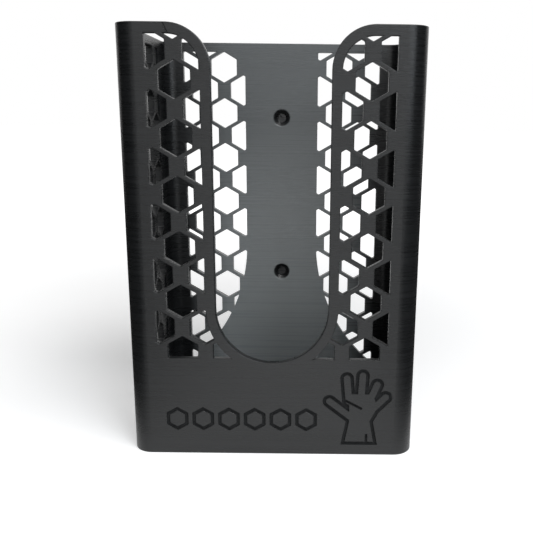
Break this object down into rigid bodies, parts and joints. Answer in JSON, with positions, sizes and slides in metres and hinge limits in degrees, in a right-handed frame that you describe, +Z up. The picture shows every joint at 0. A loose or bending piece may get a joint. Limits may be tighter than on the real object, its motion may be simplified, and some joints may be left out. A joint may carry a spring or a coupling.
{
  "type": "disposable glove dispenser",
  "caption": "Upright open-topped black plastic holder for a box of disposable gloves, with a U cut in its front wall, honeycomb windows in all walls and screw recesses in its back.",
  "frame": {"origin": "middle of the underside", "axes": "+Z up, the front wall with the U cut faces -Y, +X to the right as seen from the front"},
  "size_m": [0.13, 0.088, 0.19],
  "materials": {
    "holder": "matte black printed plastic with fine level layer lines"
  },
  "bodies": {
    "root": {"glove_box_holder": "holder"}
  },
  "joints": []
}
